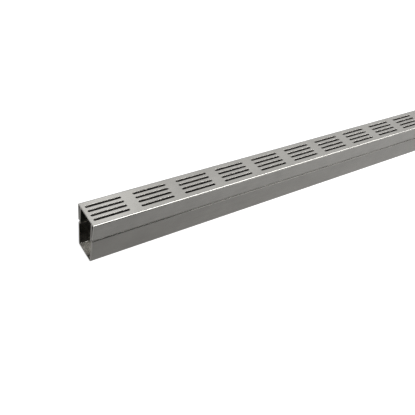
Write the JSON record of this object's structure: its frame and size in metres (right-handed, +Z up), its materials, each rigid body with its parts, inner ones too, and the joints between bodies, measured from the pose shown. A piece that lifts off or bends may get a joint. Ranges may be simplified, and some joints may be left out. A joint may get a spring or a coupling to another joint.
{
  "type": "channel drain",
  "caption": "Narrow open-ended channel drain: a folded, tapering steel channel with a slotted flanged cover resting on its lips.",
  "frame": {"origin": "middle of the flat underside", "axes": "+X along the channel, +Y across it, +Z up out of the slotted cover"},
  "size_m": [1, 0.0496, 0.075],
  "materials": {
    "channel_steel": "satin, brushed lengthwise",
    "cover_steel": "satin, brushed lengthwise"
  },
  "bodies": {
    "root": {"channel_body": "channel_steel", "slotted_cover": "cover_steel"}
  },
  "joints": []
}
